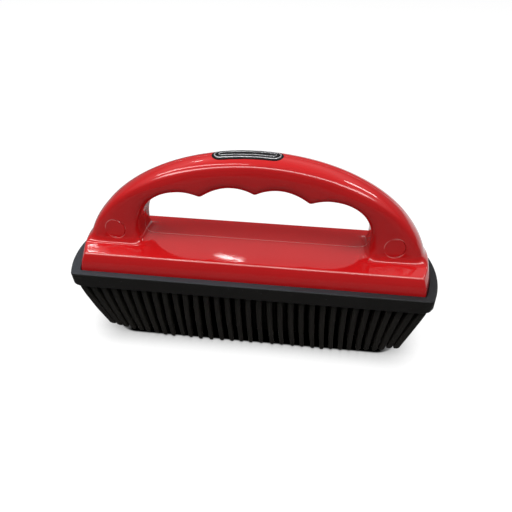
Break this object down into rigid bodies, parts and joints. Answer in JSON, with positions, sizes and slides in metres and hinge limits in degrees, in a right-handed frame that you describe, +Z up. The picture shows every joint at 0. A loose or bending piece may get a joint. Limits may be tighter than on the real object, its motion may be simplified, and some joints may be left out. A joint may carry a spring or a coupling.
{
  "type": "pet hair removal brush",
  "caption": "Hand brush with a red D-shaped handle with finger grooves, on a bow-ended black rubber pad with rows of long rubber bristles for lifting hair from cloth.",
  "frame": {"origin": "under the middle of the brush, on the plane of the bristle tips", "axes": "+Z up from the bristle tips to the grip, +X along the brush to the right, -Y towards the viewer at the side with the screw plugs"},
  "size_m": [0.166, 0.0498, 0.0856],
  "materials": {
    "red_plastic": "glossy moulded red plastic",
    "black_rubber": "satin black rubber",
    "badge_black": "gloss black, bare",
    "bright_trim": "bright metallised border",
    "plate_plastic": "dark moulded plastic",
    "screw_steel": "plated steel"
  },
  "bodies": {
    "handle_and_pad": {"handle_front_shell": "red_plastic", "handle_rear_shell": "red_plastic", "badge_plate": "badge_black", "badge_rim": "bright_trim", "handle_screw_left": "screw_steel", "handle_screw_right": "screw_steel", "screw_plug_left": "red_plastic", "screw_plug_right": "red_plastic", "backing_plate": "plate_plastic", "plate_screw_front_left": "screw_steel", "plate_screw_front_right": "screw_steel", "plate_screw_rear_left": "screw_steel", "plate_screw_rear_right": "screw_steel", "rubber_pad": "black_rubber"},
    "row_1": {"bristle_row_1": "black_rubber"},
    "row_2": {"bristle_row_2": "black_rubber"},
    "row_3": {"bristle_row_3": "black_rubber"},
    "row_4": {"bristle_row_4": "black_rubber"},
    "row_5": {"bristle_row_5": "black_rubber"},
    "row_6": {"bristle_row_6": "black_rubber"},
    "row_7": {"bristle_row_7": "black_rubber"},
    "row_8": {"bristle_row_8": "black_rubber"},
    "row_9": {"bristle_row_9": "black_rubber"}
  },
  "joints": [
    {"name": "row_1_flex", "type": "hinge", "parent": "handle_and_pad", "child": "row_1", "pos_m": [0, -0.0212, 0.0262], "axis": [1, 0, 0], "range_deg": [-25, 25], "stiffness_Nm_per_rad": 0.05},
    {"name": "row_2_flex", "type": "hinge", "parent": "handle_and_pad", "child": "row_2", "pos_m": [0, -0.0159, 0.0262], "axis": [1, 0, 0], "range_deg": [-25, 25], "stiffness_Nm_per_rad": 0.05},
    {"name": "row_3_flex", "type": "hinge", "parent": "handle_and_pad", "child": "row_3", "pos_m": [0, -0.0106, 0.0262], "axis": [1, 0, 0], "range_deg": [-25, 25], "stiffness_Nm_per_rad": 0.05},
    {"name": "row_4_flex", "type": "hinge", "parent": "handle_and_pad", "child": "row_4", "pos_m": [0, -0.0053, 0.0262], "axis": [1, 0, 0], "range_deg": [-25, 25], "stiffness_Nm_per_rad": 0.05},
    {"name": "row_5_flex", "type": "hinge", "parent": "handle_and_pad", "child": "row_5", "pos_m": [0, 0, 0.0262], "axis": [1, 0, 0], "range_deg": [-25, 25], "stiffness_Nm_per_rad": 0.05},
    {"name": "row_6_flex", "type": "hinge", "parent": "handle_and_pad", "child": "row_6", "pos_m": [0, 0.0053, 0.0262], "axis": [1, 0, 0], "range_deg": [-25, 25], "stiffness_Nm_per_rad": 0.05},
    {"name": "row_7_flex", "type": "hinge", "parent": "handle_and_pad", "child": "row_7", "pos_m": [0, 0.0106, 0.0262], "axis": [1, 0, 0], "range_deg": [-25, 25], "stiffness_Nm_per_rad": 0.05},
    {"name": "row_8_flex", "type": "hinge", "parent": "handle_and_pad", "child": "row_8", "pos_m": [0, 0.0159, 0.0262], "axis": [1, 0, 0], "range_deg": [-25, 25], "stiffness_Nm_per_rad": 0.05},
    {"name": "row_9_flex", "type": "hinge", "parent": "handle_and_pad", "child": "row_9", "pos_m": [0, 0.0212, 0.0262], "axis": [1, 0, 0], "range_deg": [-25, 25], "stiffness_Nm_per_rad": 0.05}
  ],
  "couplings": [
    {"joint": "row_1_flex", "follows": "row_5_flex", "ratio": 1},
    {"joint": "row_2_flex", "follows": "row_5_flex", "ratio": 1},
    {"joint": "row_3_flex", "follows": "row_5_flex", "ratio": 1},
    {"joint": "row_4_flex", "follows": "row_5_flex", "ratio": 1},
    {"joint": "row_6_flex", "follows": "row_5_flex", "ratio": 1},
    {"joint": "row_7_flex", "follows": "row_5_flex", "ratio": 1},
    {"joint": "row_8_flex", "follows": "row_5_flex", "ratio": 1},
    {"joint": "row_9_flex", "follows": "row_5_flex", "ratio": 1}
  ]
}
